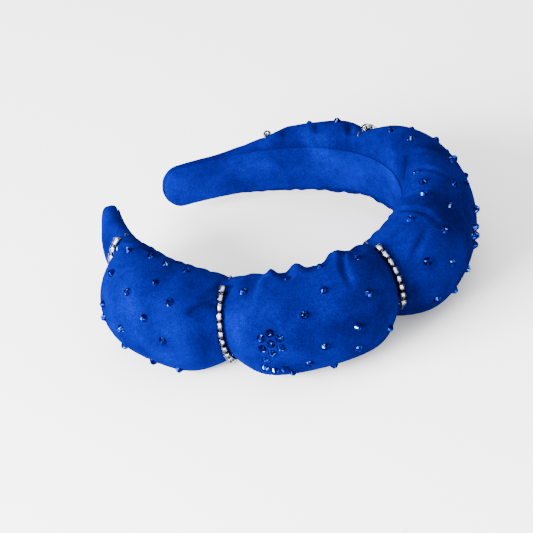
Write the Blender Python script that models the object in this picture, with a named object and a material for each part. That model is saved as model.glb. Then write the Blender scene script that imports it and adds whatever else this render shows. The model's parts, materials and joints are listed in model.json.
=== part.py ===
"""Padded headband: a springy C-shaped core, wadding pads and a suede cover,
drawn in by five beaded threads and set with flat-back crystals.

The band lies on its edge: the C is in the horizontal plane, the crown (the
part that sits on top of the head) is towards +X and the two ends are towards
-X, the near end at -Y and the far end at +Y.

Every section of the band is drawn in two coordinates: "out", the distance
from the wearer's head along the outward normal, and "up", along +Z. Lengths
are millimetres until MM turns them into metres. "along" is the distance from
the near end, measured on the face against the head.
"""
import math

import bmesh
import bpy
from mathutils import Matrix, Vector
from mathutils.bvhtree import BVHTree

MM = 0.001

# The line of the face against the head, from the crown to each end.
NEAR_LENGTH = 183.0
FAR_LENGTH = 188.0
BEND_AT = (0.0, 0.35, 0.7, 1.0)        # fractions of FAR_LENGTH from the crown
NEAR_BEND_RADII = (62.5, 54.5, 134.0, 104.0)
FAR_BEND_RADII = (62.5, 54.5, 134.0, 208.0)
NEAR_END_LIFT = 1.0                    # the ends are sprung slightly out of plane
FAR_END_LIFT = -8.5
LIFT_LENGTH = 150.0

# The flat strips: lining, hems of the cover, and core.
HALF_WIDTH_MIDDLE = 11.6
HALF_WIDTH_END = 10.7
END_TAPER = 60.0
END_ROUND = 9.0
END_BLUNTNESS = 0.3                    # width left at the very end, as a factor
LINING_OUT = (0.0, 0.7)
HEM_OUT = 1.0
CLOTH = 0.8
CORE_OUT = (2.1, 3.7)
PAD_OUT = 4.0
FLAT_OUT = 4.8                         # the cover's outer face where there is no pad
EDGE_ROUND = 1.9                       # the cover's rounded edge where there is no pad
SLOT_HALF_WIDTH = 3.0                  # between the two hems, under the lining
LINING_MARGIN = 1.0
LINING_START = 1.2
CORE_MARGIN = 2.2
CORE_START = 3.0
CORE_CHAMFER = 0.4

# The padding. Strings sit at fractions of the band's length; there is a puff
# between each two of them and one before the first and after the last.
STRINGS_AT = (0.1092, 0.2906, 0.4527, 0.7274, 0.8561)
SIZES_AT = ((0, 0.75), (1, 0.25), (1, 0.75), (2, 0.5), (3, 0.25), (3, 0.75), (4, 0.5), (5, 0.5))
PUFF_OUT = (22.0, 38.0, 39.4, 41.7, 36.5, 31.0, 20.5, 15.0)     # at those places
PUFF_HALF_WIDTH = (22.0, 25.3, 25.3, 22.7, 25.0, 24.0, 17.8, 14.4)
PUFF_SAG = (1.2, 1.2, 1.2, 1.2, 0.0, -1.0, -1.6, 0.0)
WAIST_OUT = (0.56, 0.65, 0.65, 0.74, 0.80)     # what is left of a puff's size at a string
WAIST_UP = (0.78, 0.78, 0.80, 0.82, 0.95)
WAIST_LENGTH = 8.6
NEAR_PADDING = (-17.0, 55.0)           # starts and is full, from the end
FAR_PADDING = (25.0, 65.0)
WIDEST_AT = 0.42                       # of the thickness, from the head
END_SQUARENESS = 6.0                   # superellipse exponent where there is no pad
REST_LEVEL = -24.8                     # the plane that the band rests on
REST_PRESS = 2.3                       # cloth this close to it is pressed flat on it
PAD_INSET = 1.6                        # inside the cover's outer face
PAD_THINNEST = 8.0                     # a pad ends where the cover gets thinner

# Threads and beads.
THREAD_RADIUS = 0.3
THREAD_HOLE_RADIUS = 0.65
THREAD_OUT = 4.9
THREAD_TURN = 1.1                      # where it turns into its hole
THREAD_ARC_END = 100
THREAD_ARC_STEP = 10
PAD_END_GAP = 0.9
WAIST_STATION = 4.5
BEAD_RADIUS = 2.0
BEAD_WAIST_RADIUS = 1.45
BEAD_BORE = 0.78
BEAD_LENGTH = 4.1
BEAD_LIFT = 2.4
BEAD_ARCS = ((72, -76), (76, -72), (78, -30), (82, -70), (70, -70))

# Crystals: six-sided here, each a flat back, a girdle, a cone and a table.
STONE_RADIUS = 1.95
STONE_TABLE = 0.9
STONE_HEIGHT = 1.9
STONE_GIRDLE = 0.5
STONE_SIDES = 6
STONE_GAP = 0.3
FLOWER_RADIUS = 4.9
PETALS = 6
STEM = ((-8.8, -3.6), (-13.2, -5.0), (-14.8, -0.8), (-14.4, 3.6))

# Where each loose stone sits: puff, fraction along it, degrees round the band
# (0 straight out from the head, 90 up).
LOOSE_STONES = (
    (1, 0.34, 57), (1, 0.66, 68), (1, 0.52, 48), (1, 0.78, 52),
    (1, 0.34, 18), (1, 0.66, 28), (1, 0.50, 2), (1, 0.76, 6),
    (2, 0.14, 74), (2, 0.56, 60), (2, 0.44, 38), (2, 0.50, -2),
    (2, 0.42, -22), (2, 0.76, 38), (2, 0.66, 8), (2, 0.82, 84),
    (3, 0.20, 46), (3, 0.16, 9), (3, 0.30, 55), (3, 0.30, 87),
    (3, 0.42, 58), (3, 0.48, 38), (3, 0.56, 60),
)
# A flower: puff, fraction along it, degrees round, and whether it has a stem.
FLOWERS = ((2, 0.27, 12, True), (3, 0.35, -6, False))

OUTER_DEGREES = [90.0 - 22.5 * i for i in range(9)]
QUARTER_DEGREES = (30.0, 60.0)

FINISHES = {                           # colour, roughness
    "suede": ((0.006, 0.06, 0.50, 1.0), 0.95),
    "plastic": ((0.02, 0.02, 0.022, 1.0), 0.45),
    "wadding": ((0.85, 0.85, 0.83, 1.0), 1.0),
    "thread": ((0.01, 0.01, 0.012, 1.0), 0.7),
    "bead": ((0.82, 0.84, 0.86, 1.0), 0.12),
    "crystal": ((0.0, 0.03, 0.55, 1.0), 0.06),
}


def make_finish(name):
    """A plain Principled BSDF material."""
    colour, roughness = FINISHES[name]
    material = bpy.data.materials.new(name)
    material.use_nodes = True
    shader = material.node_tree.nodes["Principled BSDF"]
    shader.inputs["Base Color"].default_value = colour
    shader.inputs["Roughness"].default_value = roughness
    material.diffuse_color = colour
    return material


def interpolate(x, xs, ys):
    """Straight lines through the points (xs, ys), level beyond their ends."""
    if x <= xs[0]:
        return ys[0]
    for i in range(1, len(xs)):
        if x <= xs[i]:
            part = (x - xs[i - 1]) / (xs[i] - xs[i - 1])
            return ys[i - 1] + part * (ys[i] - ys[i - 1])
    return ys[-1]


def smooth_step(x):
    """0 below 0, 1 above 1, and smooth between."""
    x = min(max(x, 0.0), 1.0)
    return x * x * (3.0 - 2.0 * x)


def signed_power(value, exponent):
    return math.copysign(abs(value) ** exponent, value)


# ---------------------------------------------------------------- the band's line

def trace_arm(radii, side):
    """(x, y, heading) every millimetre from the crown to one end, the bend
    changing evenly from each of the given radii to the next."""
    places = [fraction * FAR_LENGTH for fraction in BEND_AT]
    bends = [1.0 / radius for radius in radii]
    x, y, heading = 0.0, 0.0, 0.0
    points = [(x, y, heading)]
    for step in range(int(FAR_LENGTH)):
        heading += side * interpolate(step + 0.5, places, bends)
        x -= side * math.sin(heading)
        y += side * math.cos(heading)
        points.append((x, y, heading))
    return points


LENGTH = NEAR_LENGTH + FAR_LENGTH
NEAR_ARM = trace_arm(NEAR_BEND_RADII, -1)
FAR_ARM = trace_arm(FAR_BEND_RADII, 1)


def band_frame(along):
    """The point of the line, its outward normal and its direction, in millimetres."""
    arm = FAR_ARM if along >= NEAR_LENGTH else NEAR_ARM
    reach = abs(along - NEAR_LENGTH)
    index = min(int(reach), len(arm) - 2)
    x, y, heading = (a + (reach - index) * (b - a)
                     for a, b in zip(arm[index], arm[index + 1]))
    near = max(1.0 - along / LIFT_LENGTH, 0.0)
    far = max(1.0 - (LENGTH - along) / LIFT_LENGTH, 0.0)
    lift = NEAR_END_LIFT * near ** 2 + FAR_END_LIFT * far ** 2
    normal = Vector((math.cos(heading), math.sin(heading), 0.0))
    direction = Vector((-math.sin(heading), math.cos(heading), 0.0))
    return Vector((x, y, lift)), normal, direction


def band_point(along, out, up):
    """A point of the section at a distance along the band, in metres."""
    point, normal, _ = band_frame(along)
    return (point + normal * out + Vector((0.0, 0.0, up))) * MM


# ---------------------------------------------------------------- sections

STRINGS = [fraction * LENGTH for fraction in STRINGS_AT]
PUFF_ENDS = [0.0] + STRINGS + [LENGTH]
SIZE_PLACES = [PUFF_ENDS[puff] + share * (PUFF_ENDS[puff + 1] - PUFF_ENDS[puff])
               for puff, share in SIZES_AT]


def end_distance(along):
    return min(along, LENGTH - along)


def round_end(distance):
    """Width factor of a strip with a round end, at a distance from the end."""
    part = min(max(distance / END_ROUND, 0.0), 1.0)
    return math.sqrt(1.0 - (1.0 - part) ** 2)


def strip_half_width(along):
    """Half the width of the flat face, before its end is rounded."""
    part = min(end_distance(along) / END_TAPER, 1.0)
    return HALF_WIDTH_END + part * (HALF_WIDTH_MIDDLE - HALF_WIDTH_END)


def fullness(along):
    """0 where the band is flat, 1 where it is fully padded."""
    start, full = NEAR_PADDING if along < NEAR_LENGTH else FAR_PADDING
    return smooth_step((end_distance(along) - start) / (full - start))


def drawn_in(along, shares):
    """The share of a size that the strings leave: 1 away from them."""
    return 1.0 - max((1.0 - share) * math.exp(-((along - string) / WAIST_LENGTH) ** 2)
                     for share, string in zip(shares, STRINGS))


def cover_size(along):
    """Thickness, half width, flat half width, sag and squareness of the cover."""
    full = fullness(along)
    puff_out = interpolate(along, SIZE_PLACES, PUFF_OUT) * drawn_in(along, WAIST_OUT)
    puff_up = interpolate(along, SIZE_PLACES, PUFF_HALF_WIDTH) * drawn_in(along, WAIST_UP)
    out = FLAT_OUT + (puff_out - FLAT_OUT) * full
    flat = strip_half_width(along) * max(round_end(end_distance(along)), END_BLUNTNESS)
    up = flat + (puff_up - flat) * full
    flat = min(flat, up - min(EDGE_ROUND, 0.6 * flat))
    sag = interpolate(along, SIZE_PLACES, PUFF_SAG) * full
    square = END_SQUARENESS + (2.0 - END_SQUARENESS) * min(full * 2.5, 1.0)
    return out, up, flat, sag, square


def middle_out(out):
    """How far out the section is widest."""
    return max(WIDEST_AT * out, (HEM_OUT + FLAT_OUT) / 2.0)


def outline_point(along, degrees, inset=0.0, base=HEM_OUT):
    """(out, up) on the outline: 0 is straight out from the head, 90 the upper
    widest point, 180 the upper edge of the flat face, and negative is below."""
    out, up, flat, sag, square = cover_size(along)
    middle = max(middle_out(out), base + 0.5)
    turn = math.radians(degrees)
    if abs(degrees) <= 90.0:
        return (middle + (out - inset - middle) * signed_power(math.cos(turn), 2.0 / square),
                (up - inset) * signed_power(math.sin(turn), 2.0 / square) - sag)
    side = math.copysign(1.0, degrees)
    rise = abs(math.sin(turn))
    return (middle + (middle - base) * math.cos(turn),
            side * (flat - inset + (up - flat) * rise) - sag * rise)


def section(along, inset=0.0, base=HEM_OUT):
    """The outline from the flat face's upper edge, round the outside, to its
    lower edge, with its lowest stretch pressed on the resting plane."""
    degrees = [180.0] + [180.0 - q for q in QUARTER_DEGREES] + OUTER_DEGREES
    degrees += [q - 180.0 for q in reversed(QUARTER_DEGREES)] + [-180.0]
    floor = REST_LEVEL - band_frame(along)[0].z
    outline = []
    for angle in degrees:
        out, up = outline_point(along, angle, inset, base)
        rests = outline_point(along, angle)[1] < floor + REST_PRESS
        outline.append((out, floor + inset if rests else up))
    return outline


def hemmed_section(along):
    """The cover's outer outline, from one hem's edge to the other."""
    slot = min(SLOT_HALF_WIDTH, 0.35 * cover_size(along)[2])
    return [(HEM_OUT, slot)] + section(along) + [(HEM_OUT, -slot)]


def inside_of(outline, depth):
    """The outline moved inwards by the cloth's thickness, square to itself."""
    moved = []
    for i, (out, up) in enumerate(outline):
        before = outline[max(i - 1, 0)]
        after = outline[min(i + 1, len(outline) - 1)]
        run = Vector((after[0] - before[0], after[1] - before[1])).normalized()
        moved.append((out + depth * run.y, up - depth * run.x))
    return moved


# ---------------------------------------------------------------- stations

def spread(start, end, spacing):
    """Evenly spaced values strictly between start and end."""
    count = max(int((end - start) / spacing), 1)
    return [start + (end - start) * i / count for i in range(1, count)]


def band_stations():
    """Places along the band where its sections are drawn."""
    tip = [0.0, 0.9, 2.2, 4.0, 6.5, 9.5]
    stations = tip + [LENGTH - place for place in tip]
    for start, end in zip(PUFF_ENDS, PUFF_ENDS[1:]):
        first = tip[-1] if start == 0.0 else start + WAIST_STATION
        last = LENGTH - tip[-1] if end == LENGTH else end - WAIST_STATION
        stations += spread(first, last, 8.5)
    for string in STRINGS:
        for away in (PAD_END_GAP, WAIST_STATION):
            stations += [string - away, string + away]
    return sorted(stations)


STATIONS = band_stations()
TIP_WALL = 2                           # stations that the cloth closes at each end


# ---------------------------------------------------------------- building meshes

def add_object(name, mesh_data, finish):
    """An object from a finished bmesh, with outward faces and soft shading."""
    bmesh.ops.recalc_face_normals(mesh_data, faces=mesh_data.faces)
    mesh = bpy.data.meshes.new(name)
    mesh_data.to_mesh(mesh)
    mesh_data.free()
    mesh.shade_smooth()
    mesh.set_sharp_from_angle(angle=math.radians(50.0))
    mesh.materials.append(finish)
    thing = bpy.data.objects.new(name, mesh)
    bpy.context.scene.collection.objects.link(thing)
    return thing


def add_ring(mesh_data, points):
    return [mesh_data.verts.new(point) for point in points]


def bridge(mesh_data, ring_a, ring_b, closed=True):
    """Quads between two rings of as many points."""
    count = len(ring_a)
    for i in range(count if closed else count - 1):
        j = (i + 1) % count
        mesh_data.faces.new((ring_a[i], ring_a[j], ring_b[j], ring_b[i]))


def loft(name, rings, finish, loop=False):
    """A solid through closed rings of points, capped unless it closes on itself."""
    mesh_data = bmesh.new()
    rows = [add_ring(mesh_data, ring) for ring in rings]
    for row_a, row_b in zip(rows, rows[1:]):
        bridge(mesh_data, row_a, row_b)
    if loop:
        bridge(mesh_data, rows[-1], rows[0])
    else:
        mesh_data.faces.new(rows[0])
        mesh_data.faces.new(rows[-1])
    return add_object(name, mesh_data, finish)


# ---------------------------------------------------------------- sub-parts

def make_lining(finish):
    """The suede strip glued over the hems, on the face against the head."""
    inner, outer = LINING_OUT
    rings = []
    stations = [LINING_START] + [s for s in STATIONS if 2.0 < end_distance(s)]
    for along in stations + [LENGTH - LINING_START]:
        width = strip_half_width(along) * round_end(end_distance(along)) - LINING_MARGIN
        rings.append([band_point(along, out, up) for out, up in
                      ((inner, width), (outer, width), (outer, -width), (inner, -width))])
    return loft("lining", rings, finish)


def make_core(finish):
    """The springy plastic strip inside, with chamfered edges."""
    inner, outer = CORE_OUT
    cut = CORE_CHAMFER
    rings = []
    stations = [CORE_START] + [s for s in STATIONS if CORE_START < end_distance(s)]
    for along in stations + [LENGTH - CORE_START]:
        tip = round_end(end_distance(along) - CORE_START / 2.0)
        width = strip_half_width(along) * tip - CORE_MARGIN
        half = ((inner, width - cut), (inner + cut, width), (outer - cut, width),
                (outer, width - cut))
        ring = list(half) + [(out, -up) for out, up in reversed(half)]
        rings.append([band_point(along, out, up) for out, up in ring])
    return loft("band_core", rings, finish)


def make_cover(finish):
    """One strip of suede wrapped round pads and core, open along the slot
    between its hems and closed round both ends."""
    mesh_data = bmesh.new()
    outer, inner = [], []
    for along in STATIONS:
        outline = hemmed_section(along)
        outer.append(add_ring(mesh_data, [band_point(along, *p) for p in outline]))
        lined = [band_point(along, *p) for p in inside_of(outline, CLOTH)]
        inner.append(lined)
    last = len(STATIONS) - 1
    hollow = range(TIP_WALL, last - TIP_WALL + 1)
    inner = {i: add_ring(mesh_data, inner[i]) for i in hollow}
    for i in range(last):
        bridge(mesh_data, outer[i], outer[i + 1], closed=False)
        if i in hollow and i + 1 in hollow:
            bridge(mesh_data, inner[i], inner[i + 1], closed=False)
            for edge in (0, -1):
                mesh_data.faces.new((outer[i][edge], outer[i + 1][edge],
                                     inner[i + 1][edge], inner[i][edge]))
        else:
            mesh_data.faces.new((outer[i][0], outer[i][-1],
                                 outer[i + 1][-1], outer[i + 1][0]))
    for tip, wall in ((0, TIP_WALL), (last, last - TIP_WALL)):
        mesh_data.faces.new(outer[tip])
        mesh_data.faces.new(inner[wall])
        mesh_data.faces.new((outer[wall][0], outer[wall][-1],
                             inner[wall][-1], inner[wall][0]))
    cover = add_object("suede_cover", mesh_data, finish)
    pierce_cover(cover)
    return cover


def pierce_cover(cover):
    """Cuts the holes that each thread passes through, above and below."""
    mesh_data = bmesh.new()
    for string in STRINGS:
        centre = band_point(string, THREAD_OUT, 0.0)
        bmesh.ops.create_cone(mesh_data, cap_ends=True, segments=8,
                              radius1=THREAD_HOLE_RADIUS * MM,
                              radius2=THREAD_HOLE_RADIUS * MM, depth=70.0 * MM,
                              matrix=Matrix.Translation(centre))
    mesh = bpy.data.meshes.new("thread_drills")
    mesh_data.to_mesh(mesh)
    mesh_data.free()
    drills = bpy.data.objects.new("thread_drills", mesh)
    bpy.context.scene.collection.objects.link(drills)
    drills.hide_render = True
    drills.display_type = "WIRE"
    cut = cover.modifiers.new("thread_holes", "BOOLEAN")
    cut.operation = "DIFFERENCE"
    cut.solver = "EXACT"
    cut.object = drills


def make_pads(finish):
    """The wadding under each puff, ending just short of each thread."""
    names = ["wadding_near_end"] + ["wadding_%d" % i for i in range(1, len(STRINGS))]
    names.append("wadding_far_end")
    pads = []
    for name, start, end in zip(names, PUFF_ENDS, PUFF_ENDS[1:]):
        inside = [s for s in STATIONS
                  if start < s < end and cover_size(s)[0] > PAD_THINNEST]
        rings = [[band_point(s, *p) for p in section(s, PAD_INSET, PAD_OUT)]
                 for s in inside]
        pads.append(loft(name, rings, finish))
    return pads


def lifted_point(along, degrees, lift):
    """A point a little way off the cover's outline, square to it."""
    here = Vector(outline_point(along, degrees))
    run = Vector(outline_point(along, degrees - 1.0)) - Vector(outline_point(along, degrees + 1.0))
    run.normalize()
    return here + lift * Vector((-run.y, run.x))


def wall_up(along, out, side):
    """How high the cover's side stands at a distance out, above or below."""
    _, up, flat, sag, _ = cover_size(along)
    middle = middle_out(cover_size(along)[0])
    rise = math.sqrt(1.0 - ((middle - out) / (middle - HEM_OUT)) ** 2)
    return side * (flat + (up - flat) * rise) - sag * rise


def thread_path(string):
    """The thread's closed loop in the section: round the outside of the cover,
    then through it and straight across just above the core."""
    turn_out = THREAD_OUT + THREAD_TURN
    arc = [lifted_point(string, degrees, BEAD_LIFT)
           for degrees in range(THREAD_ARC_END, -THREAD_ARC_END - 1, -THREAD_ARC_STEP)]
    path = [point for point in arc if point.x > turn_out + THREAD_TURN / 2.0]
    top = wall_up(string, turn_out, 1.0) + THREAD_TURN + THREAD_RADIUS
    bottom = wall_up(string, turn_out, -1.0) - THREAD_TURN - THREAD_RADIUS
    path += [Vector((turn_out, bottom)),
             Vector((THREAD_OUT, bottom + THREAD_TURN)),
             Vector((THREAD_OUT, 0.0)),
             Vector((THREAD_OUT, top - THREAD_TURN)),
             Vector((turn_out, top))]
    return path


def swept_ring(string, point, run, radius, sides):
    """A ring round a point of the section, square to the direction it runs in."""
    centre, normal, direction = band_frame(string)
    across = normal * -run.y + Vector((0.0, 0.0, run.x))
    centre = centre + normal * point.x + Vector((0.0, 0.0, point.y))
    ring = []
    for i in range(sides):
        turn = 2.0 * math.pi * i / sides
        ring.append((centre + radius * (across * math.cos(turn) + direction * math.sin(turn))) * MM)
    return ring


def make_thread(number, string, finish):
    """A closed loop of thread."""
    path = thread_path(string)
    rings = []
    for i, point in enumerate(path):
        run = (path[(i + 1) % len(path)] - path[i - 1]).normalized()
        rings.append(swept_ring(string, point, run, THREAD_RADIUS, 6))
    return loft("thread_%d" % number, rings, finish, loop=True)


def bead_places(string, start, end):
    """Points and directions along a row of beads: each bead's two ends and the
    two shoulders between, with the bead's radius there."""
    fine = [lifted_point(string, start + (end - start) * i / 200.0, BEAD_LIFT)
            for i in range(201)]
    travelled = [0.0]
    for a, b in zip(fine, fine[1:]):
        travelled.append(travelled[-1] + (b - a).length)
    count = int(travelled[-1] / BEAD_LENGTH)
    places = []
    for bead in range(count):
        places += [(bead, BEAD_WAIST_RADIUS), (bead + 0.2, BEAD_RADIUS), (bead + 0.8, BEAD_RADIUS)]
    places.append((count, BEAD_WAIST_RADIUS))
    found = []
    for place, radius in places:
        reach = place * BEAD_LENGTH
        x = interpolate(reach, travelled, [p.x for p in fine])
        y = interpolate(reach, travelled, [p.y for p in fine])
        index = min(max(int(200.0 * reach / travelled[-1]), 1), 199)
        found.append((Vector((x, y)), (fine[index + 1] - fine[index - 1]).normalized(), radius))
    return found


def make_bead_row(number, string, arc, finish):
    """Glass beads end to end on their thread, with the bore right through."""
    mesh_data = bmesh.new()
    places = bead_places(string, *arc)
    outer = [add_ring(mesh_data, swept_ring(string, point, run, radius, 6))
             for point, run, radius in places]
    bore = [add_ring(mesh_data, swept_ring(string, point, run, BEAD_BORE, 6))
            for point, run, _ in places[::3]]
    for rows in (outer, bore):
        for row_a, row_b in zip(rows, rows[1:]):
            bridge(mesh_data, row_a, row_b)
    bridge(mesh_data, outer[0], bore[0])
    bridge(mesh_data, outer[-1], bore[-1])
    return add_object("bead_row_%d" % number, mesh_data, finish)


# ---------------------------------------------------------------- crystals

def cover_surface(cover):
    """A search tree of the cover's faces."""
    mesh = cover.data
    return BVHTree.FromPolygons([v.co for v in mesh.vertices],
                                [p.vertices for p in mesh.polygons])


def land(surface, above, downwards):
    """Where a line from above meets the cover, and the cover's outward normal."""
    point, normal, _, _ = surface.ray_cast(above, downwards)
    if normal.dot(downwards) > 0.0:
        normal = -normal
    return point, normal


def seat(surface, puff, fraction, degrees):
    """The place on the cover at a puff, a fraction along it and an angle round it."""
    start, end = PUFF_ENDS[puff], PUFF_ENDS[puff + 1]
    along = start + fraction * (end - start)
    out, _, _, sag, _ = cover_size(along)
    centre = band_point(along, middle_out(out), -sag)
    _, normal, _ = band_frame(along)
    turn = math.radians(degrees)
    away = normal * math.cos(turn) + Vector((0.0, 0.0, math.sin(turn)))
    return land(surface, centre + away * 80.0 * MM, -away)


def make_stone(name, place, normal, finish):
    """A flat-back stone standing on the cover, square to it."""
    turned = Vector((0.0, 0.0, 1.0)).rotation_difference(normal).to_matrix()
    levels = ((0.0, STONE_RADIUS), (STONE_GIRDLE, STONE_RADIUS), (STONE_HEIGHT, STONE_TABLE))
    rings = []
    for height, radius in levels:
        ring = []
        for i in range(STONE_SIDES):
            turn = 2.0 * math.pi * i / STONE_SIDES
            corner = Vector((radius * math.cos(turn), radius * math.sin(turn), height + STONE_GAP))
            ring.append(place + turned @ corner * MM)
        rings.append(ring)
    return loft(name, rings, finish)


def make_flower(number, surface, flower, finish):
    """Petals round a centre stone, and a stem that runs down from it."""
    puff, fraction, degrees, has_stem = flower
    centre, normal = seat(surface, puff, fraction, degrees)
    up = (Vector((0.0, 0.0, 1.0)) - normal * normal.z).normalized()
    side = up.cross(normal)
    places = {"flower_%d_centre" % number: (0.0, 0.0)}
    for i in range(PETALS):
        turn = 2.0 * math.pi * (i + 0.5) / PETALS
        places["flower_%d_petal_%d" % (number, i + 1)] = (
            FLOWER_RADIUS * math.sin(turn), FLOWER_RADIUS * math.cos(turn))
    for i, (rise, shift) in enumerate(STEM if has_stem else ()):
        places["flower_%d_stem_%d" % (number, i + 1)] = (rise, shift)
    stones = []
    for name, (rise, shift) in places.items():
        above = centre + (up * rise + side * shift) * MM + normal * 12.0 * MM
        spot = land(surface, above, -normal)
        stones.append(make_stone(name, *spot, finish))
    return stones


# ---------------------------------------------------------------- assembly

def hold(name, location, things):
    """Parents the things to an empty, without moving them."""
    empty = bpy.data.objects.new(name, None)
    empty.location = location
    bpy.context.scene.collection.objects.link(empty)
    bpy.context.view_layer.update()
    for thing in things:
        thing.parent = empty
        thing.matrix_parent_inverse = empty.matrix_world.inverted()
    return empty


def stand_on_origin(things):
    """Moves everything so that the middle of its underside is at the origin."""
    corners = [thing.matrix_world @ vertex.co for thing in things
               for vertex in thing.data.vertices]
    low = Vector([min(c[i] for c in corners) for i in range(3)])
    high = Vector([max(c[i] for c in corners) for i in range(3)])
    shift = Vector(((low.x + high.x) / 2.0, (low.y + high.y) / 2.0, low.z))
    for thing in bpy.context.scene.objects:
        if thing.parent is None:
            thing.location -= shift
    bpy.context.view_layer.update()


def build():
    for thing in list(bpy.data.objects):
        bpy.data.objects.remove(thing, do_unlink=True)
    finish = {name: make_finish(name) for name in FINISHES}
    cover = make_cover(finish["suede"])
    near = [cover, make_core(finish["plastic"]), make_lining(finish["suede"])]
    far = []
    pads = make_pads(finish["wadding"])
    near += pads[:3]
    far += pads[3:]
    for i, string in enumerate(STRINGS):
        half = near if i < 3 else far
        half.append(make_thread(i + 1, string, finish["thread"]))
        half.append(make_bead_row(i + 1, string, BEAD_ARCS[i], finish["bead"]))
    surface = cover_surface(cover)
    for i, (puff, fraction, degrees) in enumerate(LOOSE_STONES):
        half = near if puff < 3 else far
        spot = seat(surface, puff, fraction, degrees)
        half.append(make_stone("stone_%02d" % (i + 1), *spot, finish["crystal"]))
    for i, flower in enumerate(FLOWERS):
        half = near if flower[0] < 3 else far
        half += make_flower(i + 1, surface, flower, finish["crystal"])
    bpy.context.view_layer.update()
    flex_axis = band_point(STRINGS[2], sum(CORE_OUT) / 2.0, 0.0)
    hold("near_half", Vector((0.0, 0.0, 0.0)), near + [bpy.data.objects["thread_drills"]])
    hold("far_half_on_flex_axis", flex_axis, far)
    stand_on_origin(near + far)


build()
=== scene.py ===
"""Looks of a padded headband: a cloth-simulated suede cover drawn in by beaded
threads, a suede lining, and faceted flat-back crystals.

Sections of the band are drawn in millimetres, as "out" from the wearer's head
and "up" along +Z; "along" is the distance from the near end, measured on the
face against the head. place() turns them into the frame's metres.
"""
import json
import math

import bmesh
import bpy
import numpy as np
from mathutils import Matrix, Vector
from mathutils.bvhtree import BVHTree

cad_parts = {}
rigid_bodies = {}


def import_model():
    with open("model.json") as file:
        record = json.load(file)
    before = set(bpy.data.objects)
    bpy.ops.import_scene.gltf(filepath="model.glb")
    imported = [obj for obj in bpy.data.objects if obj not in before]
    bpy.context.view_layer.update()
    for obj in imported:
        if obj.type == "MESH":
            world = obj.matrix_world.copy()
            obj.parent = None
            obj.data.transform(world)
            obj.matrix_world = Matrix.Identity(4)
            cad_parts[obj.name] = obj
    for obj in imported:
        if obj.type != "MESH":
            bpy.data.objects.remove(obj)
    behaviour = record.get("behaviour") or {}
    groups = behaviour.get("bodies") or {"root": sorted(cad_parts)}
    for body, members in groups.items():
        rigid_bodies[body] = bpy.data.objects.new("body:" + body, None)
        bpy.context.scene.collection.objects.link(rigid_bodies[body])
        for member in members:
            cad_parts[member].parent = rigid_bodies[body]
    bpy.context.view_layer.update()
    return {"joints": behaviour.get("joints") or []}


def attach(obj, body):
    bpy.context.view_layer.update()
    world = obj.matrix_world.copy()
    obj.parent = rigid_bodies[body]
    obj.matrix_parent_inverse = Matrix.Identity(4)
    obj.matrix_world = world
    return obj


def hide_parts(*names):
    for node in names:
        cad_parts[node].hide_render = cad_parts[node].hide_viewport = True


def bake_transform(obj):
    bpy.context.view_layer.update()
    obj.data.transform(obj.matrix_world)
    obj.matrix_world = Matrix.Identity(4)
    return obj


for leftover in list(bpy.data.objects):
    bpy.data.objects.remove(leftover, do_unlink=True)

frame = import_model()

MM = 0.001
rng = np.random.default_rng(7)

# ---------------------------------------------------------------- the design's sizes

NEAR_LENGTH = 183.0
FAR_LENGTH = 188.0
LENGTH = NEAR_LENGTH + FAR_LENGTH
BEND_AT = (0.0, 0.35, 0.7, 1.0)
NEAR_BEND_RADII = (62.5, 54.5, 134.0, 104.0)
FAR_BEND_RADII = (62.5, 54.5, 134.0, 208.0)
NEAR_END_LIFT = 1.0
FAR_END_LIFT = -8.5
LIFT_LENGTH = 150.0

HALF_WIDTH_MIDDLE = 11.6
HALF_WIDTH_END = 10.7
END_TAPER = 60.0
END_ROUND = 9.0
LINING_OUT = (0.0, 0.7)
LINING_MARGIN = 0.5
CORE_OUT = (2.1, 3.7)
CORE_MARGIN = 2.2
CORE_START = 3.0
HEM_OUT = 0.85
FLAT_OUT = 4.8
EDGE_ROUND = 1.9

STRINGS_AT = (0.1092, 0.2906, 0.4527, 0.7274, 0.8561)
SIZES_AT = ((0, 0.75), (1, 0.25), (1, 0.75), (2, 0.5), (3, 0.25), (3, 0.75), (4, 0.5), (5, 0.5))
PUFF_OUT = (22.0, 38.0, 39.4, 41.7, 36.5, 31.0, 20.5, 15.0)
PUFF_HALF_WIDTH = (22.0, 25.3, 25.3, 22.7, 25.0, 24.0, 17.8, 14.4)
PUFF_SAG = (1.2, 1.2, 1.2, 1.2, 0.0, -1.0, -1.6, 0.0)
WAIST_OUT = (0.56, 0.65, 0.65, 0.74, 0.80)
WAIST_UP = (0.78, 0.78, 0.80, 0.82, 0.95)
WAIST_LENGTHS = (14.5, 8.6, 8.6, 8.6, 8.6)
NEAR_PADDING = (-17.0, 55.0)
FAR_PADDING = (25.0, 65.0)
WIDEST_AT = 0.42
END_SQUARENESS = 6.0
REST_LEVEL = -24.8

THREAD_RADIUS = 0.3
THREAD_OUT = 4.9
THREAD_TURN = 1.1
BEAD_LENGTH = 4.1
BEAD_LIFT = 1.5
BEAD_ARCS = ((72, -76), (76, -72), (78, -30), (82, -70), (70, -70))

STONE_RADIUS = 1.95
STONE_HEIGHT = 1.9

STRINGS = [fraction * LENGTH for fraction in STRINGS_AT]
PUFF_ENDS = [0.0] + STRINGS + [LENGTH]
SIZE_PLACES = [PUFF_ENDS[puff] + share * (PUFF_ENDS[puff + 1] - PUFF_ENDS[puff])
               for puff, share in SIZES_AT]


# ---------------------------------------------------------------- the band's line

def smooth_step(x):
    x = np.clip(x, 0.0, 1.0)
    return x * x * (3.0 - 2.0 * x)


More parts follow.
